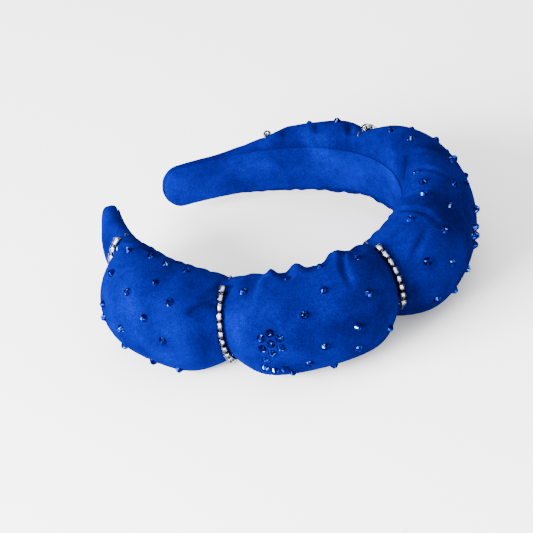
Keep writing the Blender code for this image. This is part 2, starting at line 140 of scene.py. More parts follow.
def trace_arm(radii, side):
    """x, y and heading every millimetre from the crown to one end."""
    steps = np.arange(int(FAR_LENGTH)) + 0.5
    bends = np.interp(steps, np.array(BEND_AT) * FAR_LENGTH, [1.0 / r for r in radii])
    heading = side * np.cumsum(bends)
    x = -side * np.cumsum(np.sin(heading))
    y = side * np.cumsum(np.cos(heading))
    return [np.concatenate([[0.0], values]) for values in (x, y, heading)]


def trace_band():
    """Both arms joined, from the near end to the far one."""
    near = trace_arm(NEAR_BEND_RADII, -1.0)
    far = trace_arm(FAR_BEND_RADII, 1.0)
    last = int(NEAR_LENGTH)
    return [np.concatenate([a[last:0:-1], b]) for a, b in zip(near, far)]


BAND = trace_band()
MILLIMETRES = np.arange(int(LENGTH) + 1)


def heading_at(along):
    return np.interp(along, MILLIMETRES, BAND[2])


def lift_at(along):
    near = np.clip(1.0 - along / LIFT_LENGTH, 0.0, None)
    far = np.clip(1.0 - (LENGTH - along) / LIFT_LENGTH, 0.0, None)
    return NEAR_END_LIFT * near ** 2 + FAR_END_LIFT * far ** 2


def drawn_point(along, out, up):
    """A point of the section in millimetres, with the crown's face at the origin."""
    heading = heading_at(along)
    x = np.interp(along, MILLIMETRES, BAND[0]) + out * np.cos(heading)
    y = np.interp(along, MILLIMETRES, BAND[1]) + out * np.sin(heading)
    return np.stack(np.broadcast_arrays(x, y, up + lift_at(along)), axis=-1)


FLEX = frame["joints"][0]
ORIGIN = np.array(FLEX["pos_m"]) / MM - drawn_point(STRINGS[2], sum(CORE_OUT) / 2.0, 0.0)


def place(along, out, up):
    """The same point in the frame, in metres."""
    return (drawn_point(along, out, up) + ORIGIN) * MM


# ---------------------------------------------------------------- sections

def end_distance(along):
    return np.minimum(along, LENGTH - along)


def round_end(distance, radius=END_ROUND):
    part = np.clip(distance / radius, 0.0, 1.0)
    return np.sqrt(1.0 - (1.0 - part) ** 2)


def strip_half_width(along):
    part = np.minimum(end_distance(along) / END_TAPER, 1.0)
    return HALF_WIDTH_END + part * (HALF_WIDTH_MIDDLE - HALF_WIDTH_END)


def fullness(along):
    near = (end_distance(along) - NEAR_PADDING[0]) / (NEAR_PADDING[1] - NEAR_PADDING[0])
    far = (end_distance(along) - FAR_PADDING[0]) / (FAR_PADDING[1] - FAR_PADDING[0])
    return smooth_step(np.where(np.asarray(along) < NEAR_LENGTH, near, far))


def puff_size(along, sizes):
    """A size of the cover's puffs, before the threads draw them in."""
    return np.interp(along, SIZE_PLACES, sizes)


def drawn_in(along, shares):
    """The share of a size that the threads leave: 1 away from them."""
    along = np.asarray(along, float)
    drops = [(1.0 - share) * np.exp(-((along - string) / length) ** 2)
             for share, string, length in zip(shares, STRINGS, WAIST_LENGTHS)]
    return 1.0 - np.max(drops, axis=0)


def cover_size(along):
    """Thickness, half width, flat half width, sag and squareness of the cover."""
    along = np.asarray(along, float)
    full = fullness(along)
    puff_out = puff_size(along, PUFF_OUT) * drawn_in(along, WAIST_OUT)
    puff_up = puff_size(along, PUFF_HALF_WIDTH) * drawn_in(along, WAIST_UP)
    out = FLAT_OUT + (puff_out - FLAT_OUT) * full
    flat = strip_half_width(along) * np.maximum(round_end(end_distance(along)), 0.02)
    up = flat + (puff_up - flat) * full
    flat = np.minimum(flat, up - np.minimum(EDGE_ROUND, 0.6 * flat))
    sag = puff_size(along, PUFF_SAG) * full
    square = END_SQUARENESS + (2.0 - END_SQUARENESS) * np.minimum(full * 2.5, 1.0)
    return out, up, flat, sag, square


def middle_out(out):
    return np.maximum(WIDEST_AT * out, (HEM_OUT + FLAT_OUT) / 2.0)


def signed_power(value, exponent):
    return np.sign(value) * np.abs(value) ** exponent


def outline(along, degrees, inset=0.0, base=HEM_OUT):
    """(out, up) on the section: 0 degrees is straight out from the head, 90 the
    upper widest point, 180 the upper edge of the flat face; negative is below."""
    out, up, flat, sag, square = cover_size(along)
    middle = np.maximum(middle_out(out), base + 0.5)
    turn = np.radians(degrees)
    rise = np.abs(np.sin(turn))
    side = np.sign(degrees)
    outside = np.abs(degrees) <= 90.0
    cosine = np.cos(turn)
    far_out = middle + (out - inset - middle) * signed_power(np.clip(cosine, 0, 1), 2.0 / square)
    near_in = middle + (middle - base) * cosine
    high = (up - inset) * side * rise ** (2.0 / square) - sag
    low = side * (flat - inset + (up - flat) * rise) - sag * rise
    return np.where(outside, far_out, near_in), np.where(outside, high, low)


# ---------------------------------------------------------------- mesh helpers

def mesh_piece(name, points, faces, material, smooth=True):
    """A new object holding these points, in metres, with its faces pointing out."""
    mesh = bpy.data.meshes.new(name)
    mesh.from_pydata([tuple(point) for point in points], [], [tuple(face) for face in faces])
    work = bmesh.new()
    work.from_mesh(mesh)
    bmesh.ops.recalc_face_normals(work, faces=work.faces)
    work.to_mesh(mesh)
    work.free()
    mesh.materials.append(material)
    if smooth:
        mesh.shade_smooth()
    piece = bpy.data.objects.new(name, mesh)
    bpy.context.scene.collection.objects.link(piece)
    return piece


def grid_faces(rows, columns, closed=False):
    """Quads of a grid whose points are stored row by row."""
    across = columns if closed else columns - 1
    row, column = np.meshgrid(np.arange(rows - 1), np.arange(across), indexing="ij")
    beside = (column + 1) % columns
    corners = (row * columns + column, row * columns + beside)
    corners += (corners[1] + columns, corners[0] + columns)
    return np.stack(corners, axis=-1).reshape(-1, 4).tolist()


def tube_piece(name, rings, material, smooth=True):
    """A closed body through rings of points, with a flat cap at each end."""
    rings = np.asarray(rings)
    count, sides = rings.shape[:2]
    faces = grid_faces(count, sides, closed=True)
    faces.append(list(range(sides)))
    faces.append([(count - 1) * sides + side for side in range(sides)])
    return mesh_piece(name, rings.reshape(-1, 3), faces, material, smooth)


def subdivide(piece, levels=1):
    modifier = piece.modifiers.new("Subdivision", "SUBSURF")
    modifier.levels = levels
    modifier.render_levels = levels
    return piece


def bend_with_band(piece):
    """Bakes the piece's placement into its points; the piece stays unparented."""
    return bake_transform(piece)


def travelled(points):
    """The distance along a polyline at each of its points."""
    steps = np.linalg.norm(np.diff(points, axis=0), axis=1)
    return np.concatenate([[0.0], np.cumsum(steps)])


def evenly(points, count):
    """Places at equal distances along a polyline, counted in its own points."""
    length = travelled(points)
    return np.interp(np.linspace(0.0, length[-1], count), length, np.arange(len(points)))


def at_places(values, places):
    """Values between the entries of a list, at places counted in its entries."""
    low = np.minimum(places.astype(int), len(values) - 2)
    part = places - low
    if values.ndim > 1:
        part = part[:, None]
    return values[low] * (1.0 - part) + values[low + 1] * part


# ---------------------------------------------------------------- materials

def new_material(name):
    """A material with one Principled shader, its node tree and the shader."""
    material = bpy.data.materials.new(name)
    material.use_nodes = True
    tree = material.node_tree
    tree.nodes.clear()
    output = tree.nodes.new("ShaderNodeOutputMaterial")
    shader = tree.nodes.new("ShaderNodeBsdfPrincipled")
    tree.links.new(shader.outputs["BSDF"], output.inputs["Surface"])
    return material, tree, shader


def noise(tree, scale, detail=2.0, roughness=0.5, stretch=None):
    """Noise over the object's own metres."""
    place_node = tree.nodes.new("ShaderNodeTexCoord")
    pattern = tree.nodes.new("ShaderNodeTexNoise")
    pattern.inputs["Scale"].default_value = scale
    pattern.inputs["Detail"].default_value = detail
    pattern.inputs["Roughness"].default_value = roughness
    if stretch:
        mapping = tree.nodes.new("ShaderNodeMapping")
        mapping.inputs["Scale"].default_value = stretch
        tree.links.new(place_node.outputs["Object"], mapping.inputs["Vector"])
        tree.links.new(mapping.outputs["Vector"], pattern.inputs["Vector"])
    else:
        tree.links.new(place_node.outputs["Object"], pattern.inputs["Vector"])
    return pattern.outputs["Fac"]


def ramp(tree, factor, stops):
    """A colour ramp; stops are (position, colour)."""
    node = tree.nodes.new("ShaderNodeValToRGB")
    elements = node.color_ramp.elements
    elements[0].position, elements[1].position = stops[0][0], stops[-1][0]
    for position, _ in stops[1:-1]:
        elements.new(position)
    for element, (_, colour) in zip(elements, stops):
        element.color = (*colour, 1.0)
    tree.links.new(factor, node.inputs["Fac"])
    return node.outputs["Color"]


def mix_colours(tree, mode, factor, first, second):
    node = tree.nodes.new("ShaderNodeMix")
    node.data_type = "RGBA"
    node.blend_type = mode
    node.inputs["Factor"].default_value = factor
    tree.links.new(first, node.inputs["A"])
    tree.links.new(second, node.inputs["B"])
    return node.outputs["Result"]


def bump(tree, shader, layers):
    """Bumps on top of one another; layers are (height, distance in metres, strength)."""
    before = None
    for height, distance, strength in layers:
        node = tree.nodes.new("ShaderNodeBump")
        node.inputs["Distance"].default_value = distance
        node.inputs["Strength"].default_value = strength
        tree.links.new(height, node.inputs["Height"])
        if before:
            tree.links.new(before, node.inputs["Normal"])
        before = node.outputs["Normal"]
    tree.links.new(before, shader.inputs["Normal"])


def grey(value):
    return (value, value, value)


def make_suede(name, dark, light, sheen):
    """Faux suede: a short nap that lies in soft, paler and deeper patches."""
    material, tree, shader = new_material(name)
    brushed = ramp(tree, noise(tree, 55.0, 2.0, 0.5), [(0.36, dark), (0.64, light)])
    mottle = ramp(tree, noise(tree, 420.0, 3.0, 0.6), [(0.3, grey(0.72)), (0.7, grey(1.0))])
    fibres = ramp(tree, noise(tree, 1700.0, 3.0, 0.65), [(0.34, grey(0.40)), (0.64, grey(1.0))])
    colour = mix_colours(tree, "MULTIPLY", 1.0, brushed, mottle)
    colour = mix_colours(tree, "MULTIPLY", 1.0, colour, fibres)
    tree.links.new(colour, shader.inputs["Base Color"])
    rough = ramp(tree, noise(tree, 300.0, 2.0), [(0.3, grey(0.88)), (0.7, grey(0.98))])
    tree.links.new(rough, shader.inputs["Roughness"])
    shader.inputs["Specular IOR Level"].default_value = 0.0
    shader.inputs["Sheen Weight"].default_value = sheen
    shader.inputs["Sheen Roughness"].default_value = 0.45
    shader.inputs["Sheen Tint"].default_value = (0.01, 0.10, 1.0, 1.0)
    nap = noise(tree, 3000.0, 2.0, 0.6)
    pile = noise(tree, 700.0, 3.0, 0.55)
    bump(tree, shader, [(pile, 0.00022, 0.5), (nap, 0.00008, 0.6)])
    return material


def make_core_plastic():
    material, tree, shader = new_material("core_plastic")
    colour = ramp(tree, noise(tree, 120.0), [(0.3, (0.012, 0.012, 0.013)),
                                             (0.7, (0.022, 0.022, 0.024))])
    tree.links.new(colour, shader.inputs["Base Color"])
    shader.inputs["Roughness"].default_value = 0.42
    bump(tree, shader, [(noise(tree, 1500.0), 0.00005, 0.3)])
    return material


def make_wadding():
    material, tree, shader = new_material("wadding")
    fibres = noise(tree, 900.0, 5.0, 0.7, stretch=(1.0, 1.0, 0.35))
    colour = ramp(tree, fibres, [(0.3, (0.62, 0.62, 0.60)), (0.7, (0.84, 0.84, 0.82))])
    tree.links.new(colour, shader.inputs["Base Color"])
    shader.inputs["Roughness"].default_value = 0.95
    shader.inputs["Sheen Weight"].default_value = 0.4
    bump(tree, shader, [(fibres, 0.0006, 0.7)])
    return material


def make_thread():
    material, tree, shader = new_material("thread")
    twist = noise(tree, 2500.0, 2.0, 0.5)
    colour = ramp(tree, twist, [(0.3, (0.004, 0.005, 0.010)), (0.7, (0.010, 0.016, 0.040))])
    tree.links.new(colour, shader.inputs["Base Color"])
    shader.inputs["Roughness"].default_value = 0.6
    bump(tree, shader, [(twist, 0.0001, 0.6)])
    return material


def make_bead_glass():
    material, tree, shader = new_material("glass_bead")
    edge = tree.nodes.new("ShaderNodeAttribute")
    edge.attribute_name = "edge"
    # painted shade: faces marked by the edge attribute, each bead's rims and cut ends, get
    # near-black colour for the dark lines at the rims and between beads
    colour = ramp(tree, edge.outputs["Fac"], [(0.0, (0.80, 0.82, 0.87)),
                                              (1.0, (0.02, 0.02, 0.03))])
    tree.links.new(colour, shader.inputs["Base Color"])
    shader.inputs["Transmission Weight"].default_value = 1.0
    shader.inputs["IOR"].default_value = 1.25
    rough = ramp(tree, noise(tree, 900.0), [(0.3, grey(0.01)), (0.7, grey(0.06))])
    tree.links.new(rough, shader.inputs["Roughness"])
    return material


def make_bead_silver():
    material, tree, shader = new_material("bead_silver_lining")
    foil = noise(tree, 1300.0, 3.0, 0.6)
    colour = ramp(tree, foil, [(0.30, (0.38, 0.36, 0.32)), (0.52, (0.95, 0.92, 0.86))])
    tree.links.new(colour, shader.inputs["Base Color"])
    shader.inputs["Metallic"].default_value = 1.0
    rough = ramp(tree, foil, [(0.3, grey(0.32)), (0.7, grey(0.16))])
    tree.links.new(rough, shader.inputs["Roughness"])
    bump(tree, shader, [(foil, 0.00004, 0.3)])
    return material


def make_crystal():
    """Sapphire-coloured glass over foil, with painted reflection: each cut face has its own fixed
    brightness, from near black to bright blue, and the brightest are painted glints.
    """
    material, tree, shader = new_material("crystal")
    facet_painted_light = tree.nodes.new("ShaderNodeAttribute")
    facet_painted_light.attribute_name = "facet_painted_light"
    # painted reflection: each face's random value picks near black to bright blue, and the top
    # stop is a painted pale glint
    colour = ramp(tree, facet_painted_light.outputs["Fac"], [
        (0.0, (0.0, 0.0, 0.008)), (0.45, (0.0, 0.0002, 0.030)), (0.72, (0.0, 0.0015, 0.085)),
        (0.88, (0.0002, 0.010, 0.26)), (0.965, (0.001, 0.08, 0.60)), (1.0, (0.30, 0.45, 0.80))])
    tree.links.new(colour, shader.inputs["Base Color"])
    shader.inputs["Metallic"].default_value = 1.0
    shader.inputs["Specular Tint"].default_value = (0.01, 0.05, 0.7, 1.0)
    rough = ramp(tree, noise(tree, 500.0), [(0.3, grey(0.14)), (0.7, grey(0.24))])
    tree.links.new(rough, shader.inputs["Roughness"])
    return material


SUEDE = make_suede("suede", (0.0, 0.0010, 0.062), (0.0001, 0.0026, 0.122), 0.03)
LINING_SUEDE = make_suede("lining_suede", (0.0, 0.0017, 0.094), (0.0002, 0.0041, 0.180), 0.03)
CORE_PLASTIC = make_core_plastic()
WADDING = make_wadding()
THREAD = make_thread()
BEAD_GLASS = make_bead_glass()
BEAD_SILVER = make_bead_silver()
CRYSTAL = make_crystal()


# ---------------------------------------------------------------- the suede cover

COVER_STEP = 1.25
COVER_ENDS = (0.0, 0.5, 1.3, 2.4, 3.7)
GIRTH_COLUMNS = 100
FACE_ANGLES = 90
ROUND_ANGLES = 361
HEM_TURN = (2.0, 4.0)
TIP_ROUND = 2.2
TIP_THINNEST = 0.12
REST_SOFTNESS = 1.4


def cover_stations():
    first = np.array(COVER_ENDS)
    count = int(round((LENGTH - 2.0 * (first[-1] + COVER_STEP)) / COVER_STEP)) + 1
    middle = np.linspace(first[-1] + COVER_STEP, LENGTH - first[-1] - COVER_STEP, count)
    return np.concatenate([first, middle, LENGTH - first[::-1]])


def press_on_floor(up, along):
    """Heights near the resting surface flatten onto it."""
    lift = lift_at(along)
    height = up + lift - REST_LEVEL
    soft = (height + REST_SOFTNESS) ** 2 / (4.0 * REST_SOFTNESS)
    soft = np.where(height < -REST_SOFTNESS, 0.0, soft)
    return np.where(height < REST_SOFTNESS, soft, height) + REST_LEVEL - lift


def cover_section(along):
    """Outline from one hem to the other at even steps: out, up and the angle."""
    degrees = np.concatenate([np.linspace(-180.0, -90.0, FACE_ANGLES)[:-1],
                              np.linspace(-90.0, 90.0, ROUND_ANGLES),
                              np.linspace(90.0, 180.0, FACE_ANGLES)[1:]])
    out, up = outline(along, degrees)
    tip = max(float(round_end(end_distance(along), TIP_ROUND)), TIP_THINNEST)
    middle = (HEM_OUT + FLAT_OUT) / 2.0
    out = middle + (out - middle) * tip
    places = evenly(np.stack([out, up], axis=1), GIRTH_COLUMNS)
    out, up, degrees = (at_places(values, places) for values in (out, up, degrees))
    return out, up, degrees


def hem(out, up):
    """The hem turned under the lining, as more columns at both sides of a section."""
    flat = abs(up[-1] - up[0]) / 2.0
    turns = np.minimum(np.array(HEM_TURN), 0.8 * flat)
    out = np.concatenate([np.full(len(turns), out[0]), out, np.full(len(turns), out[-1])])
    up = np.concatenate([(up[0] + turns)[::-1], up, up[-1] - turns])
    return out, up


def cover_grid(stations):
    """Points of the whole cover in millimetres of out and up, with their angles."""
    outs, ups, angles = [], [], []
    for along in stations:
        out, up, degrees = cover_section(along)
        out, up = hem(out, up)
        outs.append(out)
        ups.append(press_on_floor(up, along))
        angles.append(np.pad(degrees, len(HEM_TURN), mode="edge"))
    return np.array(outs), np.array(ups), np.array(angles)


# creases of the cover: puff, ((fraction along it, angle round it), ...), depth and half
# width in millimetres; a negative depth is a bump
CREASES = (
    (1, ((0.03, 44), (0.13, 70), (0.25, 90), (0.30, 108), (0.33, 124), (0.44, 120),
         (0.58, 108)), 1.6, 1.7),
    (1, ((0.985, 84), (0.97, 72), (0.935, 62), (0.88, 56)), 0.9, 1.4),
    (1, ((0.985, 52), (0.93, 48), (0.89, 41), (0.86, 31)), 1.3, 1.6),
    (2, ((0.02, 56), (0.04, 76), (0.09, 96), (0.11, 112)), 1.0, 1.4),
    (2, ((0.17, 104), (0.17, 70), (0.16, 38)), 0.7, 3.2),
    (2, ((0.215, 110), (0.21, 80), (0.20, 55)), 0.7, 1.8),
    (2, ((0.29, 134), (0.29, 112), (0.29, 96)), -1.0, 2.0),
    (2, ((0.47, 134), (0.47, 112), (0.48, 88)), -1.4, 3.9),
    (2, ((0.38, 120), (0.385, 100), (0.39, 84)), 0.7, 2.6),
    (2, ((0.745, 134), (0.745, 112), (0.73, 88)), -1.3, 4.4),
    (2, ((0.80, 122), (0.74, 96), (0.71, 80), (0.695, 60), (0.69, 46)), 1.3, 1.4),
    (2, ((0.90, 116), (0.90, 98), (0.91, 84)), 0.8, 2.2),
    (3, ((0.00, -24), (0.035, -8), (0.06, 10)), 1.3, 1.6),
    (3, ((0.05, 30), (0.09, 48), (0.16, 60)), 0.9, 1.6),
    (3, ((0.22, 140), (0.20, 100), (0.21, 72), (0.20, 50), (0.20, 40)), 1.3, 1.5),
    (3, ((0.315, 140), (0.305, 100), (0.33, 75), (0.35, 58)), 1.0, 1.4),
    (3, ((0.33, 138), (0.37, 118), (0.35, 92)), 0.8, 1.4),
    (3, ((0.48, 148), (0.48, 120), (0.48, 95), (0.455, 72), (0.42, 48)), 1.3, 1.5),
    (3, ((0.52, 150), (0.60, 135), (0.63, 122), (0.615, 104), (0.59, 82), (0.58, 64)), 1.4, 1.6),
    (3, ((0.74, 130), (0.74, 104), (0.75, 88)), 0.9, 1.6),
    (4, ((0.10, 112), (0.14, 92), (0.20, 72)), 0.9, 1.7),
    (4, ((0.45, 120), (0.48, 98), (0.50, 74)), 0.8, 2.0),
    (4, ((0.80, 112), (0.76, 92), (0.70, 70)), 0.8, 1.7),
    (2, ((0.25, -112), (0.28, -92), (0.30, -76)), 0.9, 2.0),
    (2, ((0.60, -114), (0.60, -94), (0.62, -78)), 0.9, 2.0),
    (3, ((0.20, -116), (0.22, -94), (0.23, -74)), 1.0, 1.8),
    (3, ((0.38, -116), (0.40, -96), (0.41, -74)), 1.1, 1.8),
    (3, ((0.56, -116), (0.57, -94), (0.58, -72)), 1.1, 1.8),
    (3, ((0.74, -116), (0.75, -96), (0.77, -76)), 0.9, 1.8),
    (4, ((0.40, -112), (0.42, -92), (0.44, -74)), 0.8, 1.8),
    (1, ((0.60, -116), (0.62, -96), (0.66, -80)), 0.8, 2.0),
)
# a crease: raised lips, and the shares of its length over which it fades at its ends;
# one that starts beyond HEM_CREASE_FROM degrees runs out of the hem at full depth
CREASE_LIP = 0.25
CREASE_LIP_AT = 2.1
CREASE_GAIN = 2.0
CREASE_TIGHTNESS = 0.8
CREASE_FADE_IN = 0.12
CREASE_FADE_OUT = 0.30
HEM_CREASE_FROM = 100
HEM_CREASE_FADE = 0.45
STRING_FOLDS = (0.2, 1.3, 1.3, 0.6, 0.5)
STRING_FOLD_REACH = 8.0
STRING_SLIT = 2.4
PUCKER = 0.3
# puckers at the hems: share, wavelength, and how far and how slowly its phase wanders
PUCKER_WAVES = ((1.0, 7.3, 1.9, 13.0), (0.5, 0.61 * 7.3, 2.3, 19.0))
# angles round the section as (start, width) of a smooth step
PUCKER_ANGLES = ((100.0, 35.0), (160.0, 18.0))
FOLD_FADE = (120.0, 30.0)
FREE_FADE = (150.0, 20.0)
HEM_PIN = (168.0, 8.0)
THREAD_PIN_REACH = 1.1
END_PIN_FULLNESS = 0.12
END_PIN = (6.0, 10.0)
SIM_SCALE = 4.0
SIM_FRAMES = 22
SIM_PRESSURE = 5.0
SIM_CAP = 3.6
SIM_BROAD_PASSES = 40
SIM_BROAD_KEEP = 0.15
SIM_GAIN = 1.6
GATHER = (1.05, 1.14, 1.14, 1.32, 1.42, 1.42, 1.30, 1.12)


def in_puff(puff, fraction):
    """The distance along the band of a place inside one of the puffs."""
    start, end = PUFF_ENDS[puff:puff + 2]
    return start + fraction * (end - start)


def surface_normals(grid):
    """Unit normals of a grid of points, pointing out of the band."""
    along = np.gradient(grid, axis=0)
    girth = np.gradient(grid, axis=1)
    normal = np.cross(along, girth)
    normal /= np.maximum(np.linalg.norm(normal, axis=2, keepdims=True), 1e-12)
    return normal


def distance_to_line(points, line):
    """Shortest distance from each point to a polyline, and how far along it, 0 to 1."""
    best = np.full(len(points), 1e9)
    share = np.zeros(len(points))
    for index, (a, b) in enumerate(zip(line, line[1:])):
        run = b - a
        part = np.clip((points - a) @ run / max(run @ run, 1e-12), 0.0, 1.0)
        distance = np.linalg.norm(points - a - part[:, None] * run, axis=1)
        nearer = distance < best
        best = np.where(nearer, distance, best)
        share = np.where(nearer, (index + part) / (len(line) - 1), share)
    return best, share


def crease_depth(grid):
    """How far creases press the cover in, in metres."""
    points = grid.reshape(-1, 3)
    total = np.zeros(len(points))
    for puff, route, depth, width in CREASES:
        places = np.linspace(0.0, len(route) - 1.0, 9 * len(route))
        fraction, degrees = (at_places(np.array(values, float), places) for values in zip(*route))
        along = in_puff(puff, fraction)
        line = place(along, *outline(along, degrees))
        distance, share = distance_to_line(points, line)
        fade = smooth_step(share / CREASE_FADE_IN) * smooth_step((1.0 - share) / CREASE_FADE_OUT)
        if abs(route[0][1]) > HEM_CREASE_FROM:
            fade = smooth_step((1.0 - share) / HEM_CREASE_FADE)
        reach = distance / (width * CREASE_TIGHTNESS * MM)
        fold = np.exp(-reach ** 2) - CREASE_LIP * np.exp(-(reach - CREASE_LIP_AT) ** 2)
        total += CREASE_GAIN * depth * MM * fade * fold
    return total.reshape(grid.shape[:2])


def sewn_relief(stations, angles):
    """How far the cloth stands out beside the threads and in puckers at the hems, in metres."""
    fold = np.zeros(len(stations))
    for string, height in zip(STRINGS, STRING_FOLDS):
        near = np.abs(stations - string)
        slit = 1.0 - np.exp(-(near / STRING_SLIT) ** 2)
        fold += height * np.exp(-(near / STRING_FOLD_REACH) ** 2) * slit
    waves = np.zeros(len(stations))
    for share, length, wander, wander_length in PUCKER_WAVES:
        phase = 2.0 * math.pi * stations / length + wander * np.sin(stations / wander_length)
        waves += share * np.sin(phase)
    across = np.abs(angles)
    rise, fall = ((across - start) / width for start, width in PUCKER_ANGLES)
    window = smooth_step(rise) * (1.0 - smooth_step(fall))
    outside = 1.0 - smooth_step((across - FOLD_FADE[0]) / FOLD_FADE[1])
    return (fold[:, None] * outside + PUCKER * waves[:, None] * window) * MM


def blurred(values, passes):
    """Neighbours on the grid averaged, over and over."""
    for _ in range(passes):
        padded = np.pad(values, ((1, 1), (0, 0), (0, 0)), mode="edge")
        values = (padded[:-2] + 2.0 * padded[1:-1] + padded[2:]) / 4.0
        padded = np.pad(values, ((0, 0), (1, 1), (0, 0)), mode="edge")
        values = (padded[:, :-2] + 2.0 * padded[:, 1:-1] + padded[:, 2:]) / 4.0
    return values


def cut_shape(stations, outs, ups):
    """The cover before sewing: the same tube, straight, unwaisted and longer."""
    gather = 1.0 + (puff_size(stations, GATHER) - 1.0) * fullness(stations)
    steps = np.diff(stations, prepend=0.0) * gather
    along = np.cumsum(steps)
    full = fullness(stations)
    wider_out = 1.0 / (1.0 - (1.0 - drawn_in(stations, WAIST_OUT)) * full)
    wider_up = 1.0 / (1.0 - (1.0 - drawn_in(stations, WAIST_UP)) * full)
    shape = [np.broadcast_to(along[:, None], outs.shape), outs * wider_out[:, None],
             ups * wider_up[:, None]]
    return np.stack(shape, axis=-1) * MM


def pinned(stations, angles):
    """How firmly each point of the cover is sewn down."""
    hems = smooth_step((np.abs(angles) - HEM_PIN[0]) / HEM_PIN[1])
    nearest = np.min([np.abs(stations - string) for string in STRINGS], axis=0)
    threads = np.exp(-(nearest / THREAD_PIN_REACH) ** 2)
    inwards = (end_distance(stations) - END_PIN[0]) / END_PIN[1]
    flat_ends = 1.0 - smooth_step(np.minimum(fullness(stations) / END_PIN_FULLNESS, inwards))
    return np.maximum(hems, np.maximum(threads, flat_ends)[:, None])


def sewn_cover(grid, cut, pins):
    """The cover after its cloth has been cut, gathered, sewn down and stuffed."""
    rows, columns = grid.shape[:2]
    cloth = mesh_piece("sewing", grid.reshape(-1, 3) * SIM_SCALE, grid_faces(rows, columns), SUEDE)
    cloth.shape_key_add(name="sewn")
    key = cloth.shape_key_add(name="cut")
    key.data.foreach_set("co", (cut * SIM_SCALE).reshape(-1))
    key.value = 0.0
    group = cloth.vertex_groups.new(name="pins")
    for index, weight in enumerate(pins.reshape(-1)):
        if weight > 0.01:
            group.add([index], float(weight), "REPLACE")
    modifier = cloth.modifiers.new("Cloth", "CLOTH")
    settings = modifier.settings
    settings.quality = 6
    settings.mass = 0.35
    settings.tension_stiffness = 12.0
    settings.compression_stiffness = 12.0
    settings.shear_stiffness = 4.0
    settings.bending_stiffness = 1.2
    settings.tension_damping = 8.0
    settings.compression_damping = 8.0
    settings.bending_damping = 1.0
    settings.air_damping = 2.0
    settings.vertex_group_mass = "pins"
    settings.pin_stiffness = 2.0
    settings.rest_shape_key = key
    settings.use_pressure = True
    settings.uniform_pressure_force = SIM_PRESSURE
    settings.effector_weights.gravity = 0.0
    modifier.collision_settings.use_collision = False
    modifier.point_cache.frame_end = SIM_FRAMES + 1
    scene = bpy.context.scene
    for frame_number in range(1, SIM_FRAMES + 1):
        scene.frame_set(frame_number)
    evaluated = cloth.evaluated_get(bpy.context.evaluated_depsgraph_get())
    result = np.zeros(len(evaluated.data.vertices) * 3)
    evaluated.data.vertices.foreach_get("co", result)
    scene.frame_set(1)
    bpy.data.objects.remove(cloth, do_unlink=True)
    return result.reshape(grid.shape) / SIM_SCALE


def make_cover():
    """The suede cover, gathered by the threads. Returns the piece and its points."""
    stations = cover_stations()
    outs, ups, angles = cover_grid(stations)
    grid = place(stations[:, None], outs, ups)
    pins = pinned(stations, angles)
    shape = grid
    sewn = sewn_cover(grid, cut_shape(stations, outs, ups), pins)
    moved = sewn - grid
    cap = SIM_CAP * MM
    broad = blurred(moved, SIM_BROAD_PASSES)
    moved = SIM_GAIN * (moved - (1.0 - SIM_BROAD_KEEP) * broad)
    far = np.maximum(np.linalg.norm(moved, axis=2, keepdims=True), 1e-9)
    moved *= cap * np.tanh(far / cap) / far
    shape = grid + moved * (1.0 - pins[:, :, None])
    full = fullness(stations)[:, None]
    free = full * (1.0 - smooth_step((np.abs(angles) - FREE_FADE[0]) / FREE_FADE[1]))
    relief = sewn_relief(stations, angles) * full - crease_depth(grid) * free
    shape = shape + surface_normals(grid) * relief[:, :, None]
    floor = REST_LEVEL * MM + ORIGIN[2] * MM
    shape[:, :, 2] = np.maximum(shape[:, :, 2], floor)
    rows, columns = shape.shape[:2]
    faces = grid_faces(rows, columns)
    for row in (0, rows - 1):
        for column in range(columns // 2 - 1):
            start = row * columns
            other = columns - 1 - column
            faces.append([start + column, start + column + 1, start + other - 1, start + other])
    piece = mesh_piece("cover", shape.reshape(-1, 3), faces, SUEDE)
    return piece, shape


cover, cover_shape = make_cover()
subdivide(cover)
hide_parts("suede_cover")
COVER_TREE = BVHTree.FromPolygons([tuple(p) for p in cover_shape.reshape(-1, 3)],
                                  grid_faces(*cover_shape.shape[:2]))
bend_with_band(cover)


# ---------------------------------------------------------------- lining, strip and pads

STRIP_END = 6.0
STRIP_STEP = 2.0


def strip_rings(margin, low, high, start, corner):
    """Sections of a flat strip with rounded ends and corners, in metres."""
    count = int((LENGTH - 2.0 * start) / STRIP_STEP)
    turns = np.linspace(0.0, math.pi / 2.0, 4)
    ends = start + STRIP_END * np.linspace(0.0, 1.0, 7) ** 2
    middle = np.linspace(start + STRIP_END + STRIP_STEP,
                         LENGTH - start - STRIP_END - STRIP_STEP, count)
    stations = np.concatenate([ends, middle, LENGTH - ends[::-1]])
    rings = []
    for along in stations:
        reach = float(round_end(end_distance(along) - start, END_ROUND - start))
        half = (float(strip_half_width(along)) - margin) * max(reach, 0.06)
        bend = min(corner, 0.45 * half)
        corners = [(1, 1, 0), (-1, 1, 1), (-1, -1, 2), (1, -1, 3)]
        ring = []
        for side, face, quarter in corners:
            for turn in turns + quarter * math.pi / 2.0:
                up = side * (half - bend) + bend * math.cos(turn)
                out = (high if face > 0 else low) - face * bend + bend * math.sin(turn)
                ring.append(place(along, out, up))
        rings.append(ring)
    return rings


LINING_START = 1.2
LINING_CORNER = 0.3
CORE_CORNER = 0.4

lining = tube_piece("lining_sheet",
                    strip_rings(LINING_MARGIN, *LINING_OUT, LINING_START, LINING_CORNER),
                    LINING_SUEDE)
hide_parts("lining")
bend_with_band(lining)

core = tube_piece("core_strip", strip_rings(CORE_MARGIN, *CORE_OUT, CORE_START, CORE_CORNER),
                  CORE_PLASTIC)
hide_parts("band_core")
bend_with_band(core)

